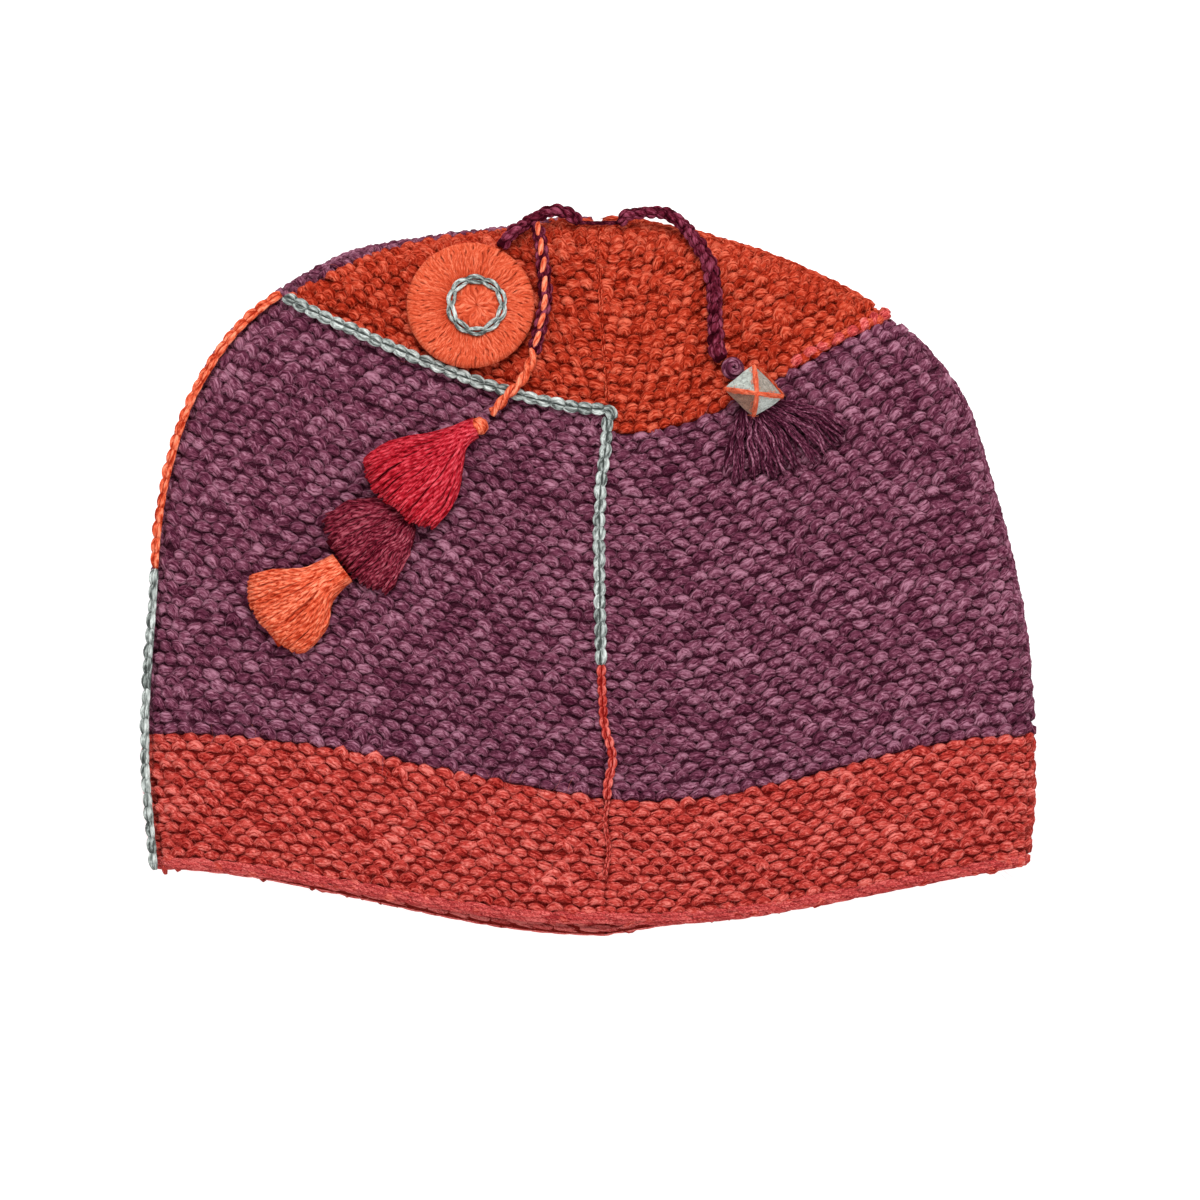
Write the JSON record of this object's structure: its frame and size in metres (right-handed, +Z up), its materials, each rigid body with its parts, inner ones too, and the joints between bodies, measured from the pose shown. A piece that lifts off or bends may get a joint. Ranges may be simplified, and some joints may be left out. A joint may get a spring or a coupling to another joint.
{
  "type": "tassel hat",
  "caption": "Knitted wool hat of four panelled gores lying flat, with crocheted seam chains and cords that carry a wound disc, tassels and a felt bead.",
  "frame": {"origin": "middle of the hat's footprint as it lies flat on its back, on the surface it rests on", "axes": "+Y from the open rim to the top of the crown, +X to the right as seen from above, +Z up from the surface"},
  "size_m": [0.2811, 0.2325, 0.0397],
  "materials": {
    "red_wool": "matt garter-knitted wool, rust red",
    "purple_wool": "matt garter-knitted wool, dusty purple",
    "crown_orange_wool": "matt garter-knitted wool, orange red",
    "chain_blue_wool": "crocheted wool chain, pale blue grey",
    "bright_orange_wool": "soft wool yarn, bright orange",
    "scarlet_wool": "soft wool strands, scarlet",
    "burgundy_wool": "soft wool strands, burgundy",
    "bead_felt": "pressed wool felt, blue grey, stitched"
  },
  "bodies": {
    "root": {"front_left_band": "red_wool", "front_left_panel": "purple_wool", "front_left_crown": "crown_orange_wool", "front_right_band": "red_wool", "front_right_panel": "purple_wool", "front_right_crown": "crown_orange_wool", "back_left_band": "red_wool", "back_left_panel": "purple_wool", "back_left_crown": "purple_wool", "back_right_band": "red_wool", "back_right_panel": "purple_wool", "back_right_crown": "crown_orange_wool", "left_chain_orange": "bright_orange_wool", "left_chain_blue": "chain_blue_wool", "crown_chain_blue": "chain_blue_wool", "centre_chain_blue": "chain_blue_wool", "centre_chain_red": "red_wool", "cord_root": "purple_wool", "disc_cord": "purple_wool", "tassel_cord": "purple_wool", "bead_cord": "purple_wool", "disc": "bright_orange_wool", "disc_ring": "chain_blue_wool", "cord_knot": "bright_orange_wool", "red_tassel": "scarlet_wool", "burgundy_tassel": "burgundy_wool", "orange_tassel": "bright_orange_wool", "bead_knot": "purple_wool", "felt_bead": "bead_felt", "bead_tassel": "purple_wool"}
  },
  "joints": []
}
